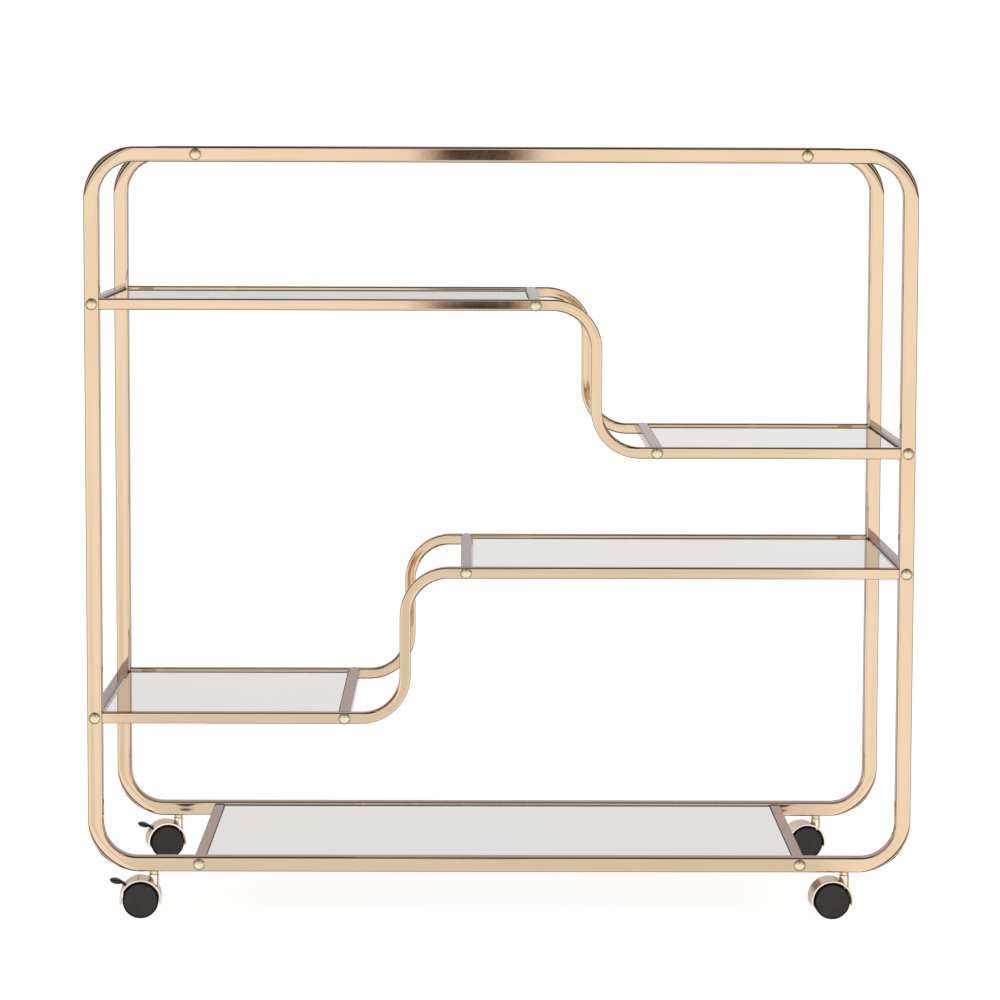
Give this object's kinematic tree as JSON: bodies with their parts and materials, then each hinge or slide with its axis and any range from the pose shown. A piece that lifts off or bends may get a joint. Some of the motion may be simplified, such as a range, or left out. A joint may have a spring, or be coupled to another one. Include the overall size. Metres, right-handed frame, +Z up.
{
  "type": "bar cart",
  "caption": "Bar cart with two rounded tube hoops, stepped rails, mirror shelves at staggered heights and hooded twin-wheel casters, two of them with brake levers.",
  "frame": {"origin": "on the floor, under the middle of the cart", "axes": "+X along the cart to the viewer's right, +Y from the front to the back, +Z up"},
  "size_m": [0.87, 0.3588, 0.8125],
  "materials": {
    "plated_gold": "polished champagne-gold plating",
    "bolt_gold": "polished pale gold plating",
    "hood_gold": "polished champagne-gold plating on die-cast metal",
    "zinc_steel": "bright zinc",
    "mirror_glass": "silvered glass, ground edges",
    "clear_pad": "clear soft polymer",
    "wheel_black": "satin moulded",
    "lever_black": "smooth moulded"
  },
  "bodies": {
    "root": {"front_hoop": "plated_gold", "back_hoop": "plated_gold", "front_upper_step_rail": "plated_gold", "back_upper_step_rail": "plated_gold", "front_lower_step_rail": "plated_gold", "back_lower_step_rail": "plated_gold", "top_left_crossbar": "plated_gold", "top_right_crossbar": "plated_gold", "upper_left_shelf_outer_crossbar": "plated_gold", "upper_left_shelf_inner_crossbar": "plated_gold", "upper_right_shelf_inner_crossbar": "plated_gold", "upper_right_shelf_outer_crossbar": "plated_gold", "lower_right_shelf_inner_crossbar": "plated_gold", "lower_right_shelf_outer_crossbar": "plated_gold", "lower_left_shelf_outer_crossbar": "plated_gold", "lower_left_shelf_inner_crossbar": "plated_gold", "bottom_shelf_left_crossbar": "plated_gold", "bottom_shelf_right_crossbar": "plated_gold", "crossbar_end_plugs": "zinc_steel", "front_cap_bolts": "bolt_gold", "back_cap_bolts": "bolt_gold", "upper_left_mirror": "mirror_glass", "upper_right_mirror": "mirror_glass", "lower_right_mirror": "mirror_glass", "lower_left_mirror": "mirror_glass", "bottom_mirror": "mirror_glass", "upper_left_shelf_lugs": "plated_gold", "upper_right_shelf_lugs": "plated_gold", "lower_right_shelf_lugs": "plated_gold", "lower_left_shelf_lugs": "plated_gold", "bottom_shelf_lugs": "plated_gold", "mirror_pads": "clear_pad", "stem_weld_nuts": "zinc_steel", "stem_snap_rings": "zinc_steel", "front_left_stem": "bolt_gold", "front_right_stem": "bolt_gold", "back_left_stem": "bolt_gold", "back_right_stem": "bolt_gold"},
    "front_left_swivel": {"front_left_hood": "hood_gold", "front_left_axle": "zinc_steel", "front_left_brake_pin": "zinc_steel"},
    "front_left_front_wheel": {"front_left_front_wheel": "wheel_black"},
    "front_left_back_wheel": {"front_left_back_wheel": "wheel_black"},
    "front_left_brake": {"front_left_brake_lever": "lever_black"},
    "front_right_swivel": {"front_right_hood": "hood_gold", "front_right_axle": "zinc_steel"},
    "front_right_front_wheel": {"front_right_front_wheel": "wheel_black"},
    "front_right_back_wheel": {"front_right_back_wheel": "wheel_black"},
    "back_left_swivel": {"back_left_hood": "hood_gold", "back_left_axle": "zinc_steel", "back_left_brake_pin": "zinc_steel"},
    "back_left_front_wheel": {"back_left_front_wheel": "wheel_black"},
    "back_left_back_wheel": {"back_left_back_wheel": "wheel_black"},
    "back_left_brake": {"back_left_brake_lever": "lever_black"},
    "back_right_swivel": {"back_right_hood": "hood_gold", "back_right_axle": "zinc_steel"},
    "back_right_front_wheel": {"back_right_front_wheel": "wheel_black"},
    "back_right_back_wheel": {"back_right_back_wheel": "wheel_black"}
  },
  "joints": [
    {"name": "front_left_swivel_turn", "type": "hinge", "parent": "root", "child": "front_left_swivel", "pos_m": [-0.366, -0.162, 0.035], "axis": [0, 0, 1], "continuous": true},
    {"name": "front_left_front_wheel_roll", "type": "hinge", "parent": "front_left_swivel", "child": "front_left_front_wheel", "pos_m": [-0.37954, -0.17337, 0.019], "axis": [-0.0698, 0.9976, 0], "continuous": true},
    {"name": "front_left_back_wheel_roll", "type": "hinge", "parent": "front_left_swivel", "child": "front_left_back_wheel", "pos_m": [-0.38099, -0.15262, 0.019], "axis": [-0.0698, 0.9976, 0], "continuous": true},
    {"name": "front_left_brake_press", "type": "hinge", "parent": "front_left_swivel", "child": "front_left_brake", "pos_m": [-0.39291, -0.16388, 0.03002], "axis": [0.0698, -0.9976, 0], "range_deg": [0, 20]},
    {"name": "front_right_swivel_turn", "type": "hinge", "parent": "root", "child": "front_right_swivel", "pos_m": [0.366, -0.162, 0.035], "axis": [0, 0, 1], "continuous": true},
    {"name": "front_right_front_wheel_roll", "type": "hinge", "parent": "front_right_swivel", "child": "front_right_front_wheel", "pos_m": [0.35226, -0.17313, 0.019], "axis": [-0.0523, 0.9986, 0], "continuous": true},
    {"name": "front_right_back_wheel_roll", "type": "hinge", "parent": "front_right_swivel", "child": "front_right_back_wheel", "pos_m": [0.35118, -0.15236, 0.019], "axis": [-0.0523, 0.9986, 0], "continuous": true},
    {"name": "back_left_swivel_turn", "type": "hinge", "parent": "root", "child": "back_left_swivel", "pos_m": [-0.366, 0.162, 0.035], "axis": [0, 0, 1], "continuous": true},
    {"name": "back_left_front_wheel_roll", "type": "hinge", "parent": "back_left_swivel", "child": "back_left_front_wheel", "pos_m": [-0.37805, 0.14906, 0.019], "axis": [-0.1908, 0.9816, 0], "continuous": true},
    {"name": "back_left_back_wheel_roll", "type": "hinge", "parent": "back_left_swivel", "child": "back_left_back_wheel", "pos_m": [-0.38202, 0.16948, 0.019], "axis": [-0.1908, 0.9816, 0], "continuous": true},
    {"name": "back_left_brake_press", "type": "hinge", "parent": "back_left_swivel", "child": "back_left_brake", "pos_m": [-0.39248, 0.15685, 0.03002], "axis": [0.1908, -0.9816, 0], "range_deg": [0, 20]},
    {"name": "back_right_swivel_turn", "type": "hinge", "parent": "root", "child": "back_right_swivel", "pos_m": [0.366, 0.162, 0.035], "axis": [0, 0, 1], "continuous": true},
    {"name": "back_right_front_wheel_roll", "type": "hinge", "parent": "back_right_swivel", "child": "back_right_front_wheel", "pos_m": [0.35395, 0.14906, 0.019], "axis": [-0.1908, 0.9816, 0], "continuous": true},
    {"name": "back_right_back_wheel_roll", "type": "hinge", "parent": "back_right_swivel", "child": "back_right_back_wheel", "pos_m": [0.34998, 0.16948, 0.019], "axis": [-0.1908, 0.9816, 0], "continuous": true}
  ]
}
